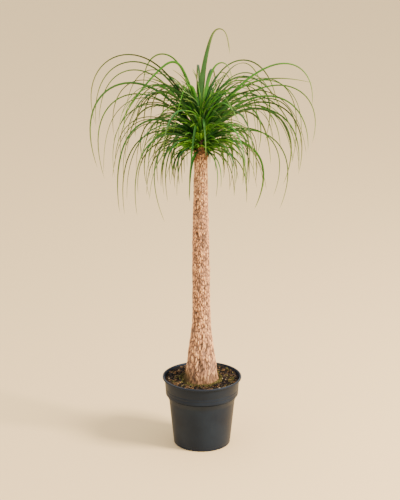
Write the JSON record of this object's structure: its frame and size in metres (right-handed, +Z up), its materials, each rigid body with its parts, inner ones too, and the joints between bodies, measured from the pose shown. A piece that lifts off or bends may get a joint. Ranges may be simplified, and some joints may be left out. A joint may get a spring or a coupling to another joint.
{
  "type": "potted ponytail palm",
  "caption": "Free-standing house plant: a corky trunk with a swollen foot and a head of long arching strap leaves, in a round nursery pot filled with potting mix.",
  "frame": {"origin": "middle of the pot's flat underside, on the surface that it stands on", "axes": "+Z up along the trunk, -Y towards the viewer of the picture, +X to the viewer's right"},
  "size_m": [0.6584, 0.5791, 1.2825],
  "materials": {
    "pot_plastic": "injection-moulded polypropylene, satin",
    "potting_mix": "loose peat and bark",
    "bark": "dry, corky, cracked",
    "leaf": "leaf with a thin waxy skin"
  },
  "bodies": {
    "root": {"pot": "pot_plastic", "soil": "potting_mix", "trunk": "bark", "leaf_crown": "leaf"}
  },
  "joints": []
}
